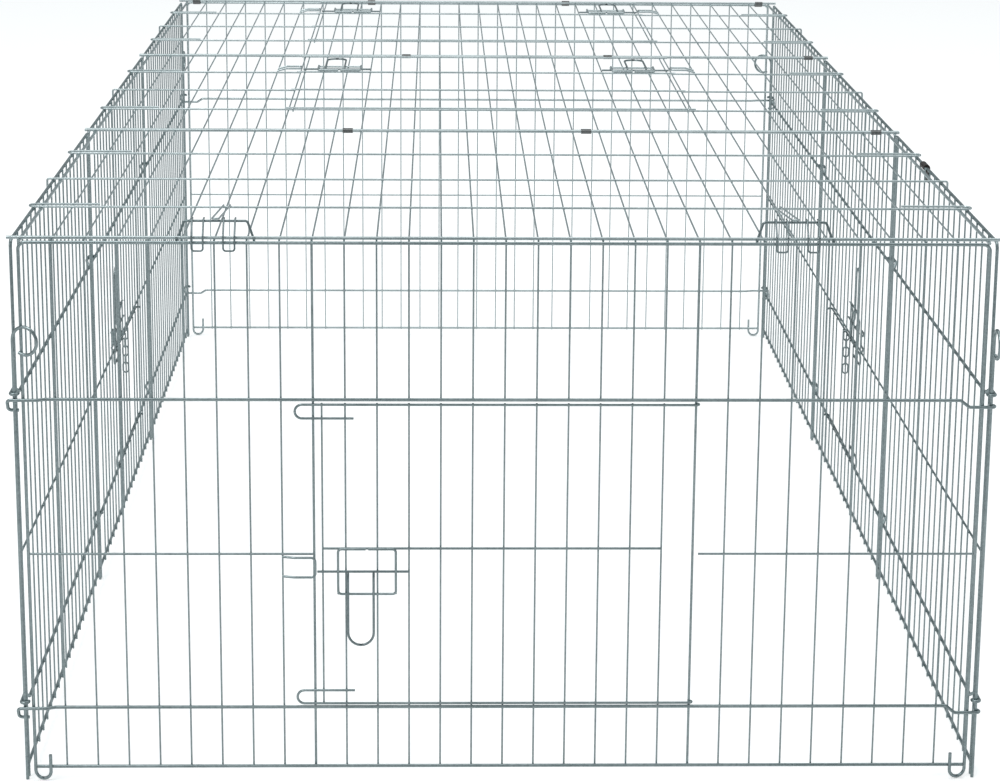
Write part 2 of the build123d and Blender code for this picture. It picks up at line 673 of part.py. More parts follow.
# End walls
front_place = Pos(0, -HALF_LENGTH, 0)
latch_x = column(DOOR_FIRST)
door_top = UPPER_HEIGHT - DOOR_TOP_GAP
door_bottom = LOWER_HEIGHT + DOOR_BOTTOM_GAP
door_middle = MIDDLE_HEIGHT + DOOR_MIDDLE_RISE
front_latch = front_place * Pos(latch_x, 0, door_middle - BOLT_DROP)
save("front_panel", moved(end_panel(True), front_place) + moved(keeper(), front_latch))
save("back_panel", moved(end_panel(False), Rot(0, 0, 180) * front_place))

# Front door with its bolt and handle
door_gaps = DOOR_LAST - DOOR_FIRST
front_leaf = leaf(door_bottom, door_top, WIDTH_PITCH, door_gaps, None)
front_leaf.append(rod((DOOR_EDGE_GAP, LEAF_DEPTH, door_middle),
                      ((door_gaps - 1) * WIDTH_PITCH, LEAF_DEPTH, door_middle), LEAF_WIRE))
save("front_door", moved(front_leaf, front_place * Pos(latch_x, 0, 0)) + moved(guide(), front_latch))
save("front_door_bolt", moved(bolt(), front_latch))
save("front_door_handle", moved(handle(), front_latch))

# Side walls, the right one as drawn and the left one its mirror image
side_latch_x = SIDE_DOOR_FIRST * SIDE_PITCH - HALF_PANEL
side_gaps = SIDE_DOOR_LAST - SIDE_DOOR_FIRST
side_top = MIDDLE_HEIGHT - SIDE_DOOR_TOP_GAP
side_latch = Pos(side_latch_x, 0, side_top + BOLT_DROP)
side_leaf = leaf(door_bottom, side_top, SIDE_PITCH, side_gaps, SIDE_DOOR_MISSING - SIDE_DOOR_FIRST)


def standing(pieces):
    """A latch turned over, so that its guide and handle stand up from the leaf."""
    return moved([piece.mirror(Plane.XY) for piece in pieces], side_latch)


side_wall = {
    "wall_front": (-1, side_panel(PEG_OUT, PANEL_JOINT, False)),
    "wall_middle": (0, side_panel(0, PANEL_JOINT, True) + standing(keeper())),
    "wall_rear": (1, side_panel(0, PEG_OUT, False)),
    "side_door": (0, moved(side_leaf, Pos(side_latch_x, 0, 0)) + standing(guide())),
    "side_door_bolt": (0, standing(bolt())),
    "side_door_handle": (0, standing(handle())),
    "side_door_chain": (0, moved(chain(CHAIN_PLACE, side_top), Pos(side_latch_x, 0, 0))),
}
for name, (panel, pieces) in side_wall.items():
    outward = Plane(origin=(SIDE_PLANE, panel * PANEL_STEP, 0), x_dir=(0, 1, 0), z_dir=(0, 0, 1)).location
    pieces = moved(pieces, outward)
    save("right_" + name, pieces)
    save("left_" + name, mirrored(pieces))
save("wall_spring_clip", spring_clip())

# Roof sections, with the keepers of the lid latches
save("roof_front", roof_section(0, False) + tongue() + mirrored(tongue()))
for number, section_name, lid_name in ((1, "roof_middle", "front_lid"), (2, "roof_rear", "rear_lid")):
    place = lid_latch_place(number)
    right_keeper = moved(keeper(), place)
    right_guide = moved(guide(), place)
    save(section_name, roof_section(number, True) + right_keeper + mirrored(right_keeper))
    save(lid_name, lid(number) + right_guide + mirrored(right_guide))
    for side, turned in (("right", moved), ("left", lambda pieces, at: mirrored(moved(pieces, at)))):
        save(lid_name + "_" + side + "_bolt", turned(bolt(), place))
        save(lid_name + "_" + side + "_handle", turned(handle(), place))

# Fittings that hold the roof and the corners
save("front_joint_clips", joint_clips(1, FRONT_JOINT_CLIPS))
save("rear_joint_clips", joint_clips(2, REAR_JOINT_CLIPS))
save("back_clips", back_clips())
save("right_roof_catch", roof_catch())
save("left_roof_catch", mirrored(roof_catch()))
for end, end_name in ((-1, "front"), (1, "back")):
    for side, side_name in ((-1, "left"), (1, "right")):
        angle = LEFT_RING_ANGLE if side * end > 0 else RIGHT_RING_ANGLE
        save("corner_peg_" + end_name + "_" + side_name, corner_peg(side, end, angle))
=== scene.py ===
import math
import bpy
from mathutils import Matrix, Vector


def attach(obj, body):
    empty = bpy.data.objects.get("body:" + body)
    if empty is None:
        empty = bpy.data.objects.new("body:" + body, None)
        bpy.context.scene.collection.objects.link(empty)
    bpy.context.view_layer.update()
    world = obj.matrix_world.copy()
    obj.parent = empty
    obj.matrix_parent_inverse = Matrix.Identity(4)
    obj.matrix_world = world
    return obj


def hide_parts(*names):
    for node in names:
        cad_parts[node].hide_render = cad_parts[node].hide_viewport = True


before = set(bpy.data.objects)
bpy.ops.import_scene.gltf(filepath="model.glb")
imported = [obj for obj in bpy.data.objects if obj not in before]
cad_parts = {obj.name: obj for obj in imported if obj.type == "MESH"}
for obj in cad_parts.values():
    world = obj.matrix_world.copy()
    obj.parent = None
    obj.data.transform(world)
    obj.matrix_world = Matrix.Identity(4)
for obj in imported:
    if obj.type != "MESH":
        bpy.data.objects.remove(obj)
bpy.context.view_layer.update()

MM = 0.001

# Wire sizes, in millimetres like every size of the cage below
FRAME_WIRE = 4.0
CROSS_WIRE = 2.8
MESH_WIRE = 2.2
POST_WIRE = 3.0
LEAF_WIRE = 3.0
LATCH_WIRE = 3.0
CATCH_WIRE = 3.0
PEG_WIRE = 4.0
CHAIN_WIRE = 2.4
EYE_FIT = 0.3

# Cage, from leg centre to leg centre
WIDTH_GAPS = 30
WIDTH_PITCH = 37.0
SIDE_GAPS = 20
SIDE_PITCH = 35.4
PANEL_JOINT = 9.0
PEG_OUT = 10.0
HALF_WIDTH = WIDTH_GAPS * WIDTH_PITCH / 2
HALF_PANEL = SIDE_GAPS * SIDE_PITCH / 2
PANEL_STEP = 2 * HALF_PANEL + PANEL_JOINT
HALF_LENGTH = (3 * PANEL_STEP - PANEL_JOINT) / 2 + PEG_OUT
SIDE_PLANE = HALF_WIDTH + PEG_OUT
BOTTOM_HEIGHT, LOWER_HEIGHT, MIDDLE_HEIGHT, UPPER_HEIGHT, TOP_HEIGHT = 16.0, 91.0, 281.6, 469.0, 654.0
LEVELS = (BOTTOM_HEIGHT, LOWER_HEIGHT, UPPER_HEIGHT, TOP_HEIGHT)
FRAME_BEND = 8.0
HOOK_WIDTH = 19.0
HOOK_RISE = 21.0
HOOK_TURN = math.radians(13.0)
EYE_STEP = 7.0
EYE_STEP_START = 25.6
EYE_STEP_RUN = 9.7
LOOP_REACH = 8.0
PEG_RING = 16.5
PEG_RING_HEIGHT = 540.0

# Depths behind a panel's outer wires, as the wires lie on one another
FACE = FRAME_WIRE / 2
POST_DEPTH = FACE + POST_WIRE / 2
CROSS_DEPTH = FACE - CROSS_WIRE / 2
LEAF_EYE = (POST_WIRE + LEAF_WIRE) / 2 + EYE_FIT
LEAF_DEPTH = POST_DEPTH - LEAF_EYE
LEAF_FACE = LEAF_DEPTH + LEAF_WIRE / 2
LEAF_MESH_DEPTH = LEAF_FACE + MESH_WIRE / 2
BOLT_DEPTH = LEAF_FACE - EYE_FIT - LATCH_WIRE / 2
OVER_BOLT = BOLT_DEPTH - LATCH_WIRE - EYE_FIT
PEG_EYE = (PEG_WIRE + FRAME_WIRE) / 2 + EYE_FIT

# Doors
DOOR_FIRST, DOOR_LAST = 9, 21
SIDE_DOOR_FIRST, SIDE_DOOR_LAST, SIDE_DOOR_MISSING = 7, 15, 12
DOOR_TOP = UPPER_HEIGHT - 6.1
DOOR_BOTTOM = LOWER_HEIGHT + 4.4
DOOR_MIDDLE = MIDDLE_HEIGHT + 6.8
SIDE_DOOR_TOP = MIDDLE_HEIGHT - 7.0
DOOR_EDGE = 10.0
HAIRPIN_WIDTH = 16.4
HAIRPIN_REACH = 21.0
HAIRPIN_RETURN = 47.0

# Latches
BOLT_START, BOLT_LENGTH, BOLT_DROP = 3.6, 107.0, 28.4
GUIDE_LEFT, GUIDE_WIDTH, GUIDE_BELOW, GUIDE_KNEE = 28.0, 67.6, 27.8, 12.0
GUIDE_KNEE_OUT, GUIDE_BEND, GUIDE_SEAM = 0.5, 4.0, 3.0
HANDLE_LEFT, HANDLE_WIDTH, HANDLE_LENGTH = 39.5, 30.0, 90.0
HANDLE_CRANK = 6.0
KEEPER_LOW, KEEPER_WIDTH, KEEPER_OVERLAP, KEEPER_SLOPE = 6.0, 24.0, 1.4, 14.0
KEEPER_BEND = 5.0
CHAIN_LINK, CHAIN_LINK_WIDTH, CHAIN_LINKS, CHAIN_PLACE, LINK_SEAM = 16.0, 8.4, 5, 124.0, 0.4

# Roof
ROOF_LEVEL = TOP_HEIGHT + FRAME_WIRE + 0.3
ROOF_INSET = FRAME_WIRE + MESH_WIRE + 0.8
ROOF_HALF = SIDE_PLANE + 4.0
ROOF_JOINT = 4.6
SECTION_LENGTH = (2 * (HALF_LENGTH - ROOF_INSET) - 2 * ROOF_JOINT) / 3
ROOF_PITCH = SECTION_LENGTH / 4
ROOF_HAIRPIN_RETURN = 75.0
ROOF_HOOK_DROP = 12.0
LID_FIRST, LID_LAST = 7, 23
LID_EDGE_GAP = 7.0
LID_FRONT_GAP = 11.0
LID_CROSS_SHIFT = 5.0
LID_OVERLAP = 5.0
LID_REAR_GAP = 7.0

# Catches and pegs
CATCH_CENTRE, CATCH_FOOT, CATCH_BAR, CATCH_RISE, CATCH_LEAN = 331.5, 44.0, 36.0, 18.0, 8.0
CATCH_HOOKS = (-16.0, 20.0)
CATCH_HOOK_WIDTH, CATCH_HOOK_TOP, CATCH_HOOK_TIP, CATCH_HOOK_BEND = 13.0, 4.0, 13.0, 3.0
TONGUE_WIDTH, TONGUE_PAST, TONGUE_GAP = 8.0, 4.0, 0.9
PEG_RING_STEPS = 20
PEG_RING_STEP = math.radians(15.0)
LEFT_RING_ANGLE = math.radians(26.0)
RIGHT_RING_ANGLE = math.radians(90.0)

# How finely the wires are made; a corner that isn't a bend of its own is eased this much
BLUNT_BEND = 1.0
BEAD = 1.3
BEND_STEPS = 6
WIRE_SIDES = 14
FLOOR_LEVEL = -0.0005

# Camera, from the photograph's size in pixels and its vanishing lines
PHOTO_WIDTH, PHOTO_HEIGHT = 1000, 781
FOCAL_PIXELS = 2724.4
CENTRE_COLUMN, CENTRE_ROW = 503.8, 308.0
CAMERA_PLACE = (-0.0806, -4.1174, 1.3117)
CAMERA_YAW = math.radians(1.478)
CAMERA_PITCH = math.radians(13.574)
CAMERA_ROLL = math.radians(0.464)


def column(number):
    """Place across the cage of a front panel wire or of a roof wire."""
    return number * WIDTH_PITCH - HALF_WIDTH


def side_column(number):
    return number * SIDE_PITCH - HALF_PANEL


def section_start(number):
    return ROOF_INSET - HALF_LENGTH + number * (SECTION_LENGTH + ROOF_JOINT)


# Finishes


class Sock:
    """A socket of a node tree that takes part in Python expressions."""

    def __init__(self, tree, socket):
        self.tree = tree
        self.socket = socket

    def maths(self, operation, first, second):
        return self.tree.node("ShaderNodeMath", {"operation": operation}, {0: first, 1: second})

    def __add__(self, other):
        return self.maths("ADD", self, other)

    def __radd__(self, other):
        return self.maths("ADD", other, self)

    def __sub__(self, other):
        return self.maths("SUBTRACT", self, other)

    def __rsub__(self, other):
        return self.maths("SUBTRACT", other, self)

    def __mul__(self, other):
        return self.maths("MULTIPLY", self, other)

    def __rmul__(self, other):
        return self.maths("MULTIPLY", other, self)


class Tree:
    """A node tree and the one method that adds its nodes."""

    def __init__(self, tree):
        self.tree = tree

    def node(self, kind, settings=None, inputs=None, output=0):
        """Add a node: its settings first, then the values or links of its sockets."""
        made = self.tree.nodes.new(kind)
        for key, value in (settings or {}).items():
            setattr(made, key, value)
        for key, value in (inputs or {}).items():
            self.put(made.inputs[key], value)
        return Sock(self, made.outputs[output]) if made.outputs else made

    def put(self, socket, value):
        if isinstance(value, Sock):
            self.tree.links.new(value.socket, socket)
        else:
            socket.default_value = value

    def mix(self, factor, first, second):
        return self.node("ShaderNodeMix", {"data_type": "RGBA"}, {0: factor, 6: first, 7: second}, 2)


class Mat(Tree):
    """A material, with the nodes that its finishes share."""

    def __init__(self, name):
        self.material = bpy.data.materials.new(name)
        self.material.use_nodes = True
        super().__init__(self.material.node_tree)
        self.shader = self.tree.nodes["Principled BSDF"]
        self.place = self.node("ShaderNodeTexCoord", output=3)

    def noise(self, scale, detail=3.0, rough=0.5):
        return self.node("ShaderNodeTexNoise", None,
                         {"Vector": self.place, "Scale": scale, "Detail": detail, "Roughness": rough})

    def spread(self, value, low, high):
        """The value stretched so that low becomes 0 and high becomes 1."""
        return self.node("ShaderNodeMapRange", None, {0: value, 1: low, 2: high})

    def finish(self, colour, roughness, height, strength, distance=0.0002):
        normal = self.node("ShaderNodeBump", None, {"Height": height, "Strength": strength, "Distance": distance})
        self.put(self.shader.inputs["Base Color"], colour)
        self.put(self.shader.inputs["Roughness"], roughness)
        self.put(self.shader.inputs["Normal"], normal)
        return self.material


def galvanised(name, light, dark, stain, dullness=0.22):
    """Hot dipped zinc on wire: pale and dark crystals, cloudy dulling and thin darker runs."""
    mat = Mat(name)
    mat.shader.inputs["Metallic"].default_value = 1.0
    crystals = mat.node("ShaderNodeTexVoronoi", {"feature": "F1"}, {"Vector": mat.place, "Scale": 420.0}, 1)
    crystal_tone = mat.node("ShaderNodeSeparateColor", None, {0: crystals})
    clouds = mat.noise(9.0, 4.0, 0.6)
    runs = mat.spread(mat.noise(30.0, 5.0, 0.7), 0.56, 0.74)
    tone = mat.spread(crystal_tone * 0.3 + clouds * 0.9, 0.25, 0.9)
    zinc = mat.mix(tone, (*dark, 1.0), (*light, 1.0))
    colour = mat.mix(runs * 0.4, zinc, (*stain, 1.0))
    roughness = dullness + clouds * 0.14 + runs * 0.12
    grain = mat.noise(900.0, 2.0, 0.6)
    return mat.finish(colour, roughness, grain * 0.5 + crystal_tone * 0.5, 0.12)


def moulded(name, colour, worn):
    """Dark moulded plastic with a fine grain and dusty patches."""
    mat = Mat(name)
    dust = mat.spread(mat.noise(60.0, 4.0, 0.6), 0.45, 0.75)
    worn_colour = mat.mix(dust * 0.5, (*colour, 1.0), (*worn, 1.0))
    return mat.finish(worn_colour, 0.45 + dust * 0.2, mat.noise(1500.0, 2.0), 0.3)


def studio_floor(name, colour):
    """A pale floor with a barely seen cloudiness, lifted toward white for the camera alone."""
    mat = Mat(name)
    clouds = mat.noise(1.5, 3.0)
    tone = mat.mix(clouds, (*colour, 1.0), (*[value * 0.985 for value in colour], 1.0))
    seen = mat.node("ShaderNodeLightPath")
    mat.put(mat.shader.inputs["Emission Color"], mat.mix(seen, (0.0, 0.0, 0.0, 1.0), (0.46, 0.46, 0.46, 1.0)))
    mat.shader.inputs["Emission Strength"].default_value = 1.0
    return mat.finish(tone, 0.75 + clouds * 0.1, mat.noise(40.0), 0.02)


wire_finish = galvanised("galvanised_wire", (0.44, 0.51, 0.52), (0.25, 0.31, 0.32), (0.17, 0.21, 0.21))
# The roof's and back wall's zinc is a paler copy of the wire's own: painted highlight for bright light from above on
# the roof and for the washed-out back wall
painted_highlight_finish = galvanised("galvanised_painted_highlight", (0.68, 0.76, 0.77), (0.44, 0.51, 0.52), (0.30, 0.35, 0.36))
latch_finish = galvanised("galvanised_latch", (0.36, 0.42, 0.43), (0.19, 0.24, 0.25), (0.13, 0.16, 0.16))
sheet_finish = galvanised("clip_sheet_finish", (0.26, 0.27, 0.27), (0.12, 0.125, 0.125), (0.12, 0.11, 0.10), 0.4)
clip_finish = moulded("dark_clip_finish", (0.022, 0.014, 0.011), (0.06, 0.048, 0.04))


# Wire work, drawn as runs of wire with bends


class Piece:
    """One piece of wire work: its runs of wire and its welds, in millimetres."""

    def __init__(self):
        self.runs = []
        self.welds = []

    def wire(self, points, thickness, bend=BLUNT_BEND):
        self.runs.append(([Vector(point) for point in points], thickness, bend))

    def add(self, other, place):
        """Take in another piece, set down at its place."""
        for points, thickness, bend in other.runs:
            self.runs.append(([place @ point for point in points], thickness, bend))
        self.welds += [place @ point for point in other.welds]
        return self


def at(x, y, z):
    return Matrix.Translation((x, y, z))


def turned(angle):
    return Matrix.Rotation(angle, 4, "Z")


def placed(piece, place):
    return Piece().add(piece, place)


def eye(radius):
    """Corners of a ring three quarters round the origin, entered along +x at y = -radius."""
    return [(radius, -radius), (radius, radius), (-radius * 0.41, radius)]


MIRROR = Matrix.Scale(-1, 4, (1, 0, 0))
UPSIDE_DOWN = Matrix.Scale(-1, 4, (0, 0, 1))
BACK_TO_FRONT = Matrix.Scale(-1, 4, (0, 1, 0))


# Wall panels, with x along the panel, y inward and z up


def uprights(piece, places, low, high, levels):
    """Upright mesh wires welded to the inner side of the level ones."""
    depth = FACE + MESH_WIRE / 2
    for x in places:
        piece.wire([(x, depth, low), (x, depth, high)], MESH_WIRE)
        piece.welds += [Vector((x, FACE, z)) for z in levels]


def outer_frame(piece, half, foot):
    piece.wire([(-half, 0, foot), (-half, 0, TOP_HEIGHT), (half, 0, TOP_HEIGHT), (half, 0, foot)],
               FRAME_WIRE, FRAME_BEND)
    piece.wire([(FACE - half, 0, BOTTOM_HEIGHT), (half - FACE, 0, BOTTOM_HEIGHT)], FRAME_WIRE)


def end_eye(half, out, z, rise):
    """Points from a level wire out past the leg and round a peg, at the +x end."""
    step = half - EYE_STEP_START
    ring = [(half + out + x, y, z + rise) for x, y in eye(PEG_EYE)]
    return [(step, 0, z), (step + EYE_STEP_RUN, -PEG_EYE, z + rise)] + ring


def end_loop(half, out, z):
    """Points of the long loop round a peg at the -x end, from its lower end to the level wire."""
    step = half - EYE_STEP_START
    outer = -half - out - LOOP_REACH
    low = z - 2 * EYE_STEP
    return [(-half - out + PEG_EYE, PEG_EYE, low), (outer, PEG_EYE, low), (outer, -PEG_EYE, z),
            (-step - EYE_STEP_RUN, -PEG_EYE, z), (-step, 0, z)]


def foot_hook(side):
    base = HOOK_WIDTH / 2 + FACE
    inner = -side * HOOK_WIDTH
    hook = Piece()
    hook.wire([(0, 0, base), (0, 0, FACE), (inner, 0, FACE), (inner, 0, base + HOOK_RISE)],
              FRAME_WIRE, HOOK_WIDTH / 2)
    return placed(hook, at(side * HALF_WIDTH, 0, 0) @ turned(side * HOOK_TURN))


def post(piece, x):
    """The heavier upright that a door turns on or shuts against."""
    piece.wire([(x, POST_DEPTH, BOTTOM_HEIGHT - FACE), (x, POST_DEPTH, TOP_HEIGHT + FACE)], POST_WIRE)
    piece.welds += [Vector((x, FACE, z)) for z in LEVELS]


def end_panel(with_door):
    piece = Piece()
    outer_frame(piece, HALF_WIDTH, HOOK_WIDTH / 2 + FACE)
    for side in (-1, 1):
        piece.add(foot_hook(side), Matrix())
    for z in (LOWER_HEIGHT, UPPER_HEIGHT):
        loop = end_loop(HALF_WIDTH, PEG_OUT, z)
        piece.wire(loop + end_eye(HALF_WIDTH, PEG_OUT, z, -EYE_STEP), FRAME_WIRE, PEG_EYE)
    doorway = range(DOOR_FIRST, DOOR_LAST + 1) if with_door else ()
    whole = [column(number) for number in range(1, WIDTH_GAPS) if number not in doorway]
    uprights(piece, whole, BOTTOM_HEIGHT - FACE, TOP_HEIGHT + FACE, LEVELS + (MIDDLE_HEIGHT,))
    left, right = FACE - HALF_WIDTH, HALF_WIDTH - FACE
    if not with_door:
        piece.wire([(left, CROSS_DEPTH, MIDDLE_HEIGHT), (right, CROSS_DEPTH, MIDDLE_HEIGHT)], CROSS_WIRE)
        return piece
    over_door = [column(number) for number in doorway[1:-1]]
    uprights(piece, over_door, BOTTOM_HEIGHT - FACE, LOWER_HEIGHT + FACE, LEVELS[:2])
    uprights(piece, over_door, UPPER_HEIGHT - FACE, TOP_HEIGHT + FACE, LEVELS[2:])
    post(piece, column(DOOR_FIRST))
    post(piece, column(DOOR_LAST))
    door_left = column(DOOR_FIRST) - POST_WIRE / 2
    door_right = column(DOOR_LAST) + LEAF_EYE + LEAF_WIRE
    piece.wire([(left, CROSS_DEPTH, MIDDLE_HEIGHT), (door_left, CROSS_DEPTH, MIDDLE_HEIGHT)], CROSS_WIRE)
    piece.wire([(door_right, CROSS_DEPTH, MIDDLE_HEIGHT), (right, CROSS_DEPTH, MIDDLE_HEIGHT)], CROSS_WIRE)
    return piece


def side_panel(front_eye, rear_eye, with_door):
    """One panel of a long wall, with x running from the cage's front to its back."""
    piece = Piece()
    outer_frame(piece, HALF_PANEL, 0)
    for z in (LOWER_HEIGHT, UPPER_HEIGHT):
        front = [(FACE - HALF_PANEL, 0, z)]
        if front_eye:
            front = [(-x, y, height) for x, y, height in reversed(end_eye(HALF_PANEL, front_eye, z, EYE_STEP))]
        piece.wire(front + end_eye(HALF_PANEL, rear_eye, z, EYE_STEP), FRAME_WIRE, PEG_EYE)
    doorway = range(SIDE_DOOR_FIRST, SIDE_DOOR_LAST + 1) if with_door else ()
    whole = [side_column(number) for number in range(1, SIDE_GAPS) if number not in doorway]
    uprights(piece, whole, BOTTOM_HEIGHT - FACE, TOP_HEIGHT + FACE, LEVELS + (MIDDLE_HEIGHT,))
    piece.wire([(FACE - HALF_PANEL, CROSS_DEPTH, MIDDLE_HEIGHT),
                (HALF_PANEL - FACE, CROSS_DEPTH, MIDDLE_HEIGHT)], CROSS_WIRE)
    if with_door:
        over_door = [side_column(number) for number in doorway[1:-1]]
        uprights(piece, over_door, BOTTOM_HEIGHT - FACE, LOWER_HEIGHT + FACE, LEVELS[:2])
        uprights(piece, over_door, MIDDLE_HEIGHT - CROSS_WIRE / 2, TOP_HEIGHT + FACE, (MIDDLE_HEIGHT,) + LEVELS[2:])
        post(piece, side_column(SIDE_DOOR_FIRST))
        post(piece, side_column(SIDE_DOOR_LAST))
    return piece


# Doors and latches, with x = 0 at the latch post and, on a latch, z = 0 at the bolt


def leaf(low, high, pitch, gaps, missing):
    """A door leaf: two long wires with a hairpin and an eye each, and the uprights behind them."""
    piece = Piece()
    width = gaps * pitch
    for z, direction in ((low, 1), (high, -1)):
        back = z + direction * HAIRPIN_WIDTH
        ring = [(width + x, POST_DEPTH + y, z) for x, y in eye(LEAF_EYE)]
        piece.wire([(HAIRPIN_RETURN, LEAF_DEPTH, back), (-HAIRPIN_REACH, LEAF_DEPTH, back),
                    (-HAIRPIN_REACH, LEAF_DEPTH, z)] + ring, LEAF_WIRE, HAIRPIN_WIDTH / 2)
    places = [DOOR_EDGE] + [number * pitch for number in range(1, gaps) if number != missing]
    for x in places:
        piece.wire([(x, LEAF_MESH_DEPTH, low - LEAF_WIRE / 2), (x, LEAF_MESH_DEPTH, high + LEAF_WIRE / 2)], MESH_WIRE)
        piece.welds += [Vector((x, LEAF_FACE, z)) for z in (low, high)]
    return piece


def keeper():
    piece = Piece()
    top = KEEPER_WIDTH - KEEPER_LOW
    foot = FACE - LATCH_WIRE / 2
    knee = KEEPER_SLOPE - WIDTH_PITCH
    piece.wire([(-WIDTH_PITCH, foot, top), (knee, OVER_BOLT, top), (KEEPER_OVERLAP, OVER_BOLT, top),
                (KEEPER_OVERLAP, OVER_BOLT, -KEEPER_LOW), (knee, OVER_BOLT, -KEEPER_LOW),
                (-WIDTH_PITCH, foot, -KEEPER_LOW)], LATCH_WIRE, KEEPER_BEND)
    return piece


def guide():
    """The loop on a leaf that the bolt runs in, closed by a seam at its top."""
    piece = Piece()
    top_depth = LEAF_DEPTH - (LEAF_WIRE + LATCH_WIRE) / 2
    knee_depth = OVER_BOLT - GUIDE_KNEE_OUT
    low_depth = LEAF_FACE - LATCH_WIRE / 2
    left, right = GUIDE_LEFT, GUIDE_LEFT + GUIDE_WIDTH
    seam = (left + right) / 2
    piece.wire([(seam + GUIDE_SEAM / 2, top_depth, BOLT_DROP), (right, top_depth, BOLT_DROP),
                (right, knee_depth, -GUIDE_KNEE), (right, low_depth, -GUIDE_BELOW),
                (left, low_depth, -GUIDE_BELOW), (left, knee_depth, -GUIDE_KNEE),
                (left, top_depth, BOLT_DROP), (seam - GUIDE_SEAM / 2, top_depth, BOLT_DROP)],
               LATCH_WIRE, GUIDE_BEND)
    piece.welds += [Vector((x, LEAF_FACE, -GUIDE_BELOW)) for x in (left, right)]
    return piece


def bolt():
    piece = Piece()
    piece.wire([(BOLT_START, BOLT_DEPTH, 0), (BOLT_START + BOLT_LENGTH, BOLT_DEPTH, 0)], LATCH_WIRE)
    return piece


def handle():
    """The U handle, whose two ends rest against the bolt."""
    piece = Piece()
    left, right = HANDLE_LEFT, HANDLE_LEFT + HANDLE_WIDTH
    crank = Vector((0, OVER_BOLT - BOLT_DEPTH, -HANDLE_CRANK))
    start = Vector((0, BOLT_DEPTH, 0)) + crank.normalized() * (LATCH_WIRE / 2 + EYE_FIT)
    piece.wire([(left, start.y, start.z), (left, OVER_BOLT, -HANDLE_CRANK), (left, OVER_BOLT, -HANDLE_LENGTH),
                (right, OVER_BOLT, -HANDLE_LENGTH), (right, OVER_BOLT, -HANDLE_CRANK),
                (right, start.y, start.z)], LATCH_WIRE, HANDLE_WIDTH / 2)
    return piece


def chain(place, wire_height):
    """Links hanging from the leaf's top wire, the first one round that wire."""
    piece = Piece()
    side, half, seam = CHAIN_LINK_WIDTH / 2, CHAIN_LINK / 2, LINK_SEAM / 2
    first = wire_height + (LEAF_WIRE + CHAIN_WIRE) / 2 + EYE_FIT - half
    pitch = CHAIN_LINK - CHAIN_WIRE - EYE_FIT
    link = Piece()
    link.wire([(0, -side, seam), (0, -side, half), (0, side, half), (0, side, -half),
               (0, -side, -half), (0, -side, -seam)], CHAIN_WIRE, side)
    for number in range(CHAIN_LINKS):
        quarter = turned(math.pi / 2 * (number % 2))
        piece.add(link, at(place, LEAF_DEPTH, first - number * pitch) @ quarter)
    return piece


# Roof, drawn where it lies


def roof_section(number, with_lid):
    """Frame wires at both ends, cross wires between, and the long wires welded beneath."""
    piece = Piece()
    start = section_start(number)
    end = start + SECTION_LENGTH
    lines = [start + cross * ROOF_PITCH for cross in range(5)]
    for y in (start, end):
        piece.wire([(-ROOF_HALF, y, ROOF_LEVEL), (ROOF_HALF, y, ROOF_LEVEL)], FRAME_WIRE)
    for cross in (1, 2, 3):
        open_here = with_lid and cross > 1
        cross_wire(piece, lines[cross], cross != 2, column(LID_LAST) - MESH_WIRE / 2 if open_here else 0)
    for wire in range(WIDTH_GAPS + 1):
        thickness = FRAME_WIRE if wire in (0, WIDTH_GAPS) else MESH_WIRE
        over_lid = with_lid and LID_FIRST < wire < LID_LAST
        stop = lines[1] + CROSS_WIRE / 2 if over_lid else end + FACE
        level = ROOF_LEVEL - FACE - thickness / 2
        piece.wire([(column(wire), start - FACE, level), (column(wire), stop, level)], thickness)
        crossed = lines[:2] if over_lid else lines
        piece.welds += [Vector((column(wire), y, ROOF_LEVEL - FACE)) for y in crossed]
    return piece


def cross_wire(piece, y, hairpins, inner):
    """A cross wire whose ends turn back in hairpins or hook down over the walls."""
    level = ROOF_LEVEL - CROSS_DEPTH
    bend = HAIRPIN_WIDTH / 2
    if hairpins:
        tip = ROOF_HALF - bend - ROOF_HAIRPIN_RETURN
        end = [(ROOF_HALF, y, level), (ROOF_HALF, y + 2 * bend, level), (tip, y + 2 * bend, level)]
    else:
        end = [(ROOF_HALF + CROSS_WIRE, y, level), (ROOF_HALF + CROSS_WIRE, y, level - ROOF_HOOK_DROP)]
        bend = CROSS_WIRE
    other_end = [(-x, along, height) for x, along, height in reversed(end)]
    if inner:
        piece.wire([(inner, y, level)] + end, CROSS_WIRE, bend)
        piece.wire(other_end + [(-inner, y, level)], CROSS_WIRE, bend)
    else:
        piece.wire(other_end + end, CROSS_WIRE, bend)


def lid(number):
    piece = Piece()
    hinge = section_start(number) + ROOF_PITCH
    front = hinge + LID_FRONT_GAP
    rear = section_start(number) + SECTION_LENGTH - LID_REAR_GAP
    half = column(LID_LAST) + LID_OVERLAP
    edge = column(LID_LAST) - LID_EDGE_GAP
    level = ROOF_LEVEL - LEAF_DEPTH
    mesh_level = ROOF_LEVEL - LEAF_MESH_DEPTH
    lines = [front, rear] + [hinge + gap * ROOF_PITCH + LID_CROSS_SHIFT for gap in (1, 2)]
    for y in lines:
        piece.wire([(-half, y, level), (half, y, level)], LEAF_WIRE)
    ends = (front - LEAF_WIRE / 2, rear + LEAF_WIRE / 2)
    for x in [column(wire) for wire in range(LID_FIRST + 1, LID_LAST)]:
        piece.wire([(x, ends[0], mesh_level), (x, ends[1], mesh_level)], MESH_WIRE)
        piece.welds += [Vector((x, y, ROOF_LEVEL - LEAF_FACE)) for y in lines]
    radius = (CROSS_WIRE + MESH_WIRE) / 2 + EYE_FIT
    turn = ROOF_LEVEL - CROSS_DEPTH
    for x in (-edge, edge):
        ring = [(x, hinge - forward, turn + up) for forward, up in eye(radius)]
        lead = [(x, ends[1], mesh_level), (x, ends[0], mesh_level), (x, hinge + 2 * radius, turn - radius)]
        piece.wire(lead + ring, MESH_WIRE, radius)
    return piece


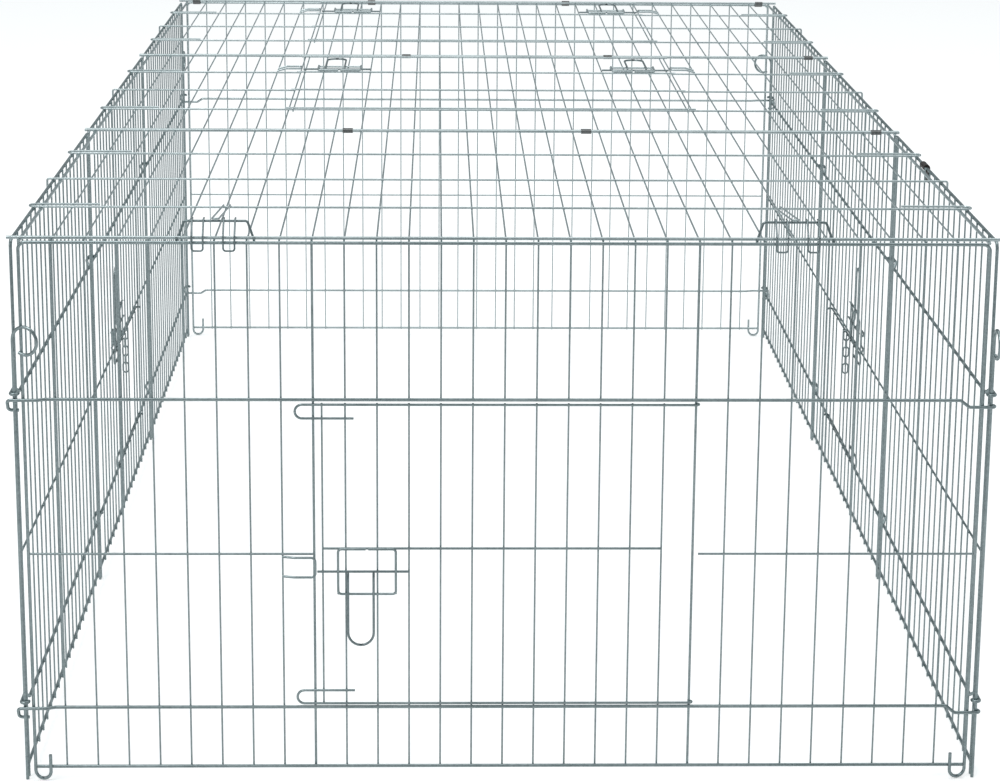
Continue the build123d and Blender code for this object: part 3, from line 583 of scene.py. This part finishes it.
def lid_latch_place(number):
    """Turns a latch down onto the roof, with its post at the roof wire beside the lid."""
    y = section_start(number) + 3 * ROOF_PITCH + LID_CROSS_SHIFT + BOLT_DROP
    turn = Matrix(((-1, 0, 0, 0), (0, 0, -1, 0), (0, -1, 0, 0), (0, 0, 0, 1)))
    return at(column(LID_LAST), y, ROOF_LEVEL) @ turn


def tongue():
    """The hairpin on the roof that runs from the first cross wire to the catch."""
    piece = Piece()
    low = ROOF_LEVEL - CROSS_DEPTH + (CROSS_WIRE + MESH_WIRE) / 2
    high = ROOF_LEVEL + CATCH_RISE + (CATCH_WIRE + MESH_WIRE) / 2 + TONGUE_GAP
    rear = section_start(0) + ROOF_PITCH
    front = section_start(0) + CATCH_LEAN - TONGUE_PAST
    left, right = CATCH_CENTRE - TONGUE_WIDTH / 2, CATCH_CENTRE + TONGUE_WIDTH / 2
    piece.wire([(left, rear, low), (left, front, high), (right, front, high), (right, rear, low)],
               MESH_WIRE, TONGUE_WIDTH / 2)
    return piece


def roof_catch():
    """A trapezoid loop turning on the roof's front wire, with two hooks over the front wall."""
    piece = Piece()
    foot = [(-across, -along) for along, across in eye((FRAME_WIRE + CATCH_WIRE) / 2 + EYE_FIT)]
    left = [(-CATCH_FOOT, y, z) for y, z in reversed(foot)]
    right = [(CATCH_FOOT, y, z) for y, z in foot]
    bar = [(-CATCH_BAR, CATCH_LEAN, CATCH_RISE), (CATCH_BAR, CATCH_LEAN, CATCH_RISE)]
    piece.wire(left + bar + right, CATCH_WIRE, (FRAME_WIRE + CATCH_WIRE) / 2 + EYE_FIT)
    wall = math.hypot(ROOF_INSET, ROOF_LEVEL - TOP_HEIGHT)
    front = -(wall + FACE + EYE_FIT + MESH_WIRE / 2)
    over = CATCH_RISE + (CATCH_WIRE + MESH_WIRE) / 2
    for centre in CATCH_HOOKS:
        low, high = centre - CATCH_HOOK_WIDTH / 2, centre + CATCH_HOOK_WIDTH / 2
        hook = [(low, CATCH_LEAN + TONGUE_PAST, over), (low, CATCH_LEAN - TONGUE_PAST, over),
                (low, front, CATCH_HOOK_TOP), (low, front, -CATCH_HOOK_TIP)]
        other_side = [(high, y, z) for x, y, z in reversed(hook)]
        piece.wire(hook + other_side, MESH_WIRE, CATCH_HOOK_BEND)
    return placed(piece, at(CATCH_CENTRE, section_start(0), ROOF_LEVEL))


def corner_peg(side, end, ring_angle):
    """A peg at one corner, with a ring that stands off the end wall by the given angle."""
    piece = Piece()
    ring = [(PEG_RING + PEG_RING * math.cos(math.pi - step * PEG_RING_STEP), 0,
             PEG_RING_HEIGHT + PEG_RING * math.sin(math.pi - step * PEG_RING_STEP))
            for step in range(1, PEG_RING_STEPS + 1)]
    piece.wire([(0, 0, 0), (0, 0, PEG_RING_HEIGHT)] + ring, PEG_WIRE, PEG_RING / 2)
    place = at(-SIDE_PLANE, -HALF_LENGTH, 0) @ turned(-ring_angle)
    if side > 0:
        place = MIRROR @ place
    if end > 0:
        place = BACK_TO_FRONT @ place
    return placed(piece, place)


# Wires, bends and welds grown on the drawn runs


def wire_work_tree():
    """Rounds each drawn run's corners, sweeps it to its own thickness and sets a bead on each weld."""
    group = bpy.data.node_groups.new("wire_work", "GeometryNodeTree")
    for name, kind in (("Runs", "NodeSocketGeometry"), ("Bend Steps", "NodeSocketInt"),
                       ("Wire Sides", "NodeSocketInt"), ("Bead Radius", "NodeSocketFloat"),
                       ("Bead Seed", "NodeSocketInt"), ("Finish", "NodeSocketMaterial")):
        group.interface.new_socket(name, in_out="INPUT", socket_type=kind)
    group.interface.new_socket("Wire Work", in_out="OUTPUT", socket_type="NodeSocketGeometry")
    tree = Tree(group)
    given = group.nodes.new("NodeGroupInput").outputs
    runs, steps, sides, bead, seed, finish = [Sock(tree, given[number]) for number in range(6)]
    bend = tree.node("GeometryNodeInputNamedAttribute", {"data_type": "FLOAT"}, {"Name": "bend"})
    half_wire = tree.node("GeometryNodeInputNamedAttribute", {"data_type": "FLOAT"}, {"Name": "half_wire"})
    welded = tree.node("GeometryNodeInputNamedAttribute", {"data_type": "BOOLEAN"}, {"Name": "weld"})
    curves = tree.node("GeometryNodeMeshToCurve", None, {"Mesh": runs})
    rounded = tree.node("GeometryNodeFilletCurve", {"mode": "POLY"},
                        {"Curve": curves, "Count": steps, "Radius": bend, "Limit Radius": True})
    profile = tree.node("GeometryNodeCurvePrimitiveCircle", {"mode": "RADIUS"}, {"Resolution": sides, "Radius": 1.0})
    wires = tree.node("GeometryNodeCurveToMesh", None, {"Curve": rounded, "Profile Curve": profile,
                                                       "Scale": half_wire, "Fill Caps": True})
    smooth = tree.node("GeometryNodeSetShadeSmooth", None, {"Geometry": wires, "Shade Smooth": True})
    places = tree.node("GeometryNodeMeshToPoints", None, {"Mesh": runs, "Selection": welded})
    ball = tree.node("GeometryNodeMeshIcoSphere", None, {"Radius": bead, "Subdivisions": 2})
    size = tree.node("FunctionNodeRandomValue", {"data_type": "FLOAT"}, {2: 0.75, 3: 1.2, "Seed": seed}, 1)
    beads = tree.node("GeometryNodeInstanceOnPoints", None, {"Points": places, "Instance": ball, "Scale": size})
    joined = group.nodes.new("GeometryNodeJoinGeometry")
    for part in (smooth, beads):
        group.links.new(part.socket, joined.inputs[0])
    real = tree.node("GeometryNodeRealizeInstances", None, {"Geometry": Sock(tree, joined.outputs[0])})
    finished = tree.node("GeometryNodeSetMaterial", None, {"Geometry": real, "Material": finish})
    tree.node("NodeGroupOutput", None, {0: finished})
    return group


def drawn_mesh(name, piece):
    """The runs as edges and the welds as loose points, each with what the tree reads from it."""
    points, edges, half_wires, bends = [], [], [], []
    for run, thickness, bend in piece.runs:
        edges += [(len(points) + step, len(points) + step + 1) for step in range(len(run) - 1)]
        points += [point * MM for point in run]
        half_wires += [thickness / 2 * MM] * len(run)
        bends += [bend * MM] * len(run)
    on_wires = len(points)
    points += [point * MM for point in piece.welds]
    mesh = bpy.data.meshes.new(name)
    mesh.from_pydata(points, edges, [])
    loose = [0.0] * len(piece.welds)
    for title, kind, values in (("half_wire", "FLOAT", half_wires + loose), ("bend", "FLOAT", bends + loose),
                                ("weld", "BOOLEAN", [number >= on_wires for number in range(len(points))])):
        mesh.attributes.new(title, kind, "POINT").data.foreach_set("value", values)
    return mesh


def wrought(node, body, piece, finish):
    """Make one node's wire work as a finished mesh that rides its body."""
    name = node + "_wires"
    made = bpy.data.objects.new(name, drawn_mesh(name + "_runs", piece))
    bpy.context.collection.objects.link(made)
    modifier = made.modifiers.new("Wire Work", "NODES")
    modifier.node_group = wire_work
    settings = {"Bend Steps": BEND_STEPS, "Wire Sides": WIRE_SIDES, "Bead Radius": BEAD * MM,
                "Bead Seed": len(piece.runs), "Finish": finish}
    for item in wire_work.interface.items_tree:
        if item.name in settings:
            modifier[item.identifier] = settings[item.name]
    graph = bpy.context.evaluated_depsgraph_get()
    solid = bpy.data.meshes.new_from_object(made.evaluated_get(graph))
    solid.name = name
    made.modifiers.clear()
    made.data = solid
    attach(made, body)
    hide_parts(node)


wire_work = wire_work_tree()

# End walls and the front door
front_place = at(0, -HALF_LENGTH, 0)
front_latch = at(column(DOOR_FIRST), -HALF_LENGTH, DOOR_MIDDLE - BOLT_DROP)
door_gaps = DOOR_LAST - DOOR_FIRST
front_leaf = leaf(DOOR_BOTTOM, DOOR_TOP, WIDTH_PITCH, door_gaps, None)
front_leaf.wire([(DOOR_EDGE, LEAF_DEPTH, DOOR_MIDDLE), ((door_gaps - 1) * WIDTH_PITCH, LEAF_DEPTH, DOOR_MIDDLE)],
                LEAF_WIRE)
wrought("front_panel", "walls", placed(end_panel(True), front_place).add(keeper(), front_latch), wire_finish)
# The back wall wears the paler zinc: painted highlight for its washed-out look
wrought("back_panel", "walls", placed(end_panel(False), turned(math.pi) @ front_place), painted_highlight_finish)
door_place = at(column(DOOR_FIRST), -HALF_LENGTH, 0)
wrought("front_door", "front_door", placed(front_leaf, door_place).add(guide(), front_latch), wire_finish)
wrought("front_door_bolt", "front_door_bolt", placed(bolt(), front_latch), latch_finish)
wrought("front_door_handle", "front_door_handle", placed(handle(), front_latch), latch_finish)

# Long walls with their doors, the left one a mirror image of the right
side_latch = at(side_column(SIDE_DOOR_FIRST), 0, SIDE_DOOR_TOP + BOLT_DROP) @ UPSIDE_DOWN
side_door_place = at(side_column(SIDE_DOOR_FIRST), 0, 0)
side_leaf = leaf(DOOR_BOTTOM, SIDE_DOOR_TOP, SIDE_PITCH, SIDE_DOOR_LAST - SIDE_DOOR_FIRST,
                 SIDE_DOOR_MISSING - SIDE_DOOR_FIRST)
side_wall = [
    ("wall_front", "walls", -1, side_panel(PEG_OUT, PANEL_JOINT, False)),
    ("wall_middle", "walls", 0, side_panel(0, PANEL_JOINT, True).add(keeper(), side_latch)),
    ("wall_rear", "walls", 1, side_panel(0, PEG_OUT, False)),
    ("side_door", "side_door", 0, placed(side_leaf, side_door_place).add(guide(), side_latch)),
    ("side_door_bolt", "side_door_bolt", 0, placed(bolt(), side_latch)),
    ("side_door_handle", "side_door_handle", 0, placed(handle(), side_latch)),
    ("side_door_chain", "side_door", 0, placed(chain(CHAIN_PLACE, SIDE_DOOR_TOP), side_door_place)),
]
for name, body, panel, piece in side_wall:
    outward = at(SIDE_PLANE, panel * PANEL_STEP, 0) @ turned(math.pi / 2)
    for side, place in (("right_", outward), ("left_", MIRROR @ outward)):
        finish = wire_finish if body == "walls" else latch_finish
        wrought(side + name, body if body == "walls" else side + body, placed(piece, place), finish)

# Roof sections, lids and their latches
front_roof = roof_section(0, False).add(tongue(), Matrix()).add(tongue(), MIRROR)
wrought("roof_front", "roof_front", front_roof, painted_highlight_finish)
for number, section_name, lid_name in ((1, "roof_middle", "front_lid"), (2, "roof_rear", "rear_lid")):
    right_place = lid_latch_place(number)
    left_place = MIRROR @ right_place
    section = roof_section(number, True).add(keeper(), right_place).add(keeper(), left_place)
    wrought(section_name, section_name, section, painted_highlight_finish)
    wrought(lid_name, lid_name, lid(number).add(guide(), right_place).add(guide(), left_place), painted_highlight_finish)
    for side, place in (("right", right_place), ("left", left_place)):
        title = lid_name + "_" + side
        wrought(title + "_bolt", title + "_bolt", placed(bolt(), place), latch_finish)
        wrought(title + "_handle", title + "_handle", placed(handle(), place), latch_finish)

# Catches and corner pegs
wrought("right_roof_catch", "right_roof_catch", roof_catch(), latch_finish)
wrought("left_roof_catch", "left_roof_catch", placed(roof_catch(), MIRROR), latch_finish)
for end, end_name in ((-1, "front"), (1, "back")):
    for side, side_name in ((-1, "left"), (1, "right")):
        angle = LEFT_RING_ANGLE if side * end > 0 else RIGHT_RING_ANGLE
        title = "corner_peg_" + end_name + "_" + side_name
        wrought(title, title, corner_peg(side, end, angle), wire_finish)

# Sheet clips and the spring clip keep their CAD shape
for name, finish in (("front_joint_clips", sheet_finish), ("rear_joint_clips", sheet_finish),
                     ("back_clips", sheet_finish), ("wall_spring_clip", clip_finish)):
    for number in range(len(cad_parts[name].material_slots)):
        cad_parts[name].data.materials[number] = finish

# Studio: a pale floor, white behind it, a soft key light and a fill
bpy.ops.mesh.primitive_plane_add(size=60, location=(0, 8, FLOOR_LEVEL))
floor = bpy.context.object
floor.name = "studio_floor"
floor.data.materials.append(studio_floor("studio_floor", (0.93, 0.93, 0.93)))

world = bpy.data.worlds.new("studio")
bpy.context.scene.world = world
world.use_nodes = True
sky = Tree(world.node_tree)
seen = sky.node("ShaderNodeLightPath")
sky.put(world.node_tree.nodes["Background"].inputs["Color"],
        sky.mix(seen, (0.30, 0.33, 0.34, 1.0), (1.0, 1.0, 1.0, 1.0)))


def lamp(name, kind, place, aim, energy, size):
    """A soft light that looks at the given place."""
    data = bpy.data.lights.new(name, kind)
    data.energy = energy
    if kind == "SUN":
        data.angle = size
    else:
        data.size = size
    made = bpy.data.objects.new(name, data)
    made.location = place
    made.rotation_euler = (Vector(aim) - Vector(place)).to_track_quat("-Z", "Y").to_euler()
    bpy.context.collection.objects.link(made)


lamp("ceiling", "AREA", (0, 0.8, 4.6), (0, 0.8, 0), 100.0, 6.0)
lamp("key", "SUN", (-2.5, -3.0, 6.0), (0, 0, 0), 0.6, math.radians(25))
lamp("left_window", "AREA", (-3.6, -2.6, 2.4), (0, 0, 0.4), 10.0, 1.6)
lamp("right_window", "AREA", (3.8, -0.8, 2.2), (0, 0, 0.4), 8.0, 1.6)

# Camera at the photograph's place and angle
camera_data = bpy.data.cameras.new("photo_camera")
camera_data.sensor_width = 36.0
camera_data.lens = FOCAL_PIXELS * camera_data.sensor_width / PHOTO_WIDTH
camera_data.shift_x = (PHOTO_WIDTH / 2 - CENTRE_COLUMN) / PHOTO_WIDTH
camera_data.shift_y = (CENTRE_ROW - PHOTO_HEIGHT / 2) / PHOTO_WIDTH
camera_data.clip_end = 100.0
camera = bpy.data.objects.new("photo_camera", camera_data)
forward = Vector((math.sin(CAMERA_YAW) * math.cos(CAMERA_PITCH), math.cos(CAMERA_YAW) * math.cos(CAMERA_PITCH),
                  -math.sin(CAMERA_PITCH)))
level_right = Vector((math.cos(CAMERA_YAW), -math.sin(CAMERA_YAW), 0))
level_up = level_right.cross(forward)
right = math.cos(CAMERA_ROLL) * level_right + math.sin(CAMERA_ROLL) * level_up
up = math.cos(CAMERA_ROLL) * level_up - math.sin(CAMERA_ROLL) * level_right
turn = Matrix((right, up, -forward)).transposed().to_4x4()
camera.matrix_world = Matrix.Translation(CAMERA_PLACE) @ turn
bpy.context.collection.objects.link(camera)
bpy.context.scene.camera = camera
bpy.context.scene.view_settings.view_transform = "Standard"
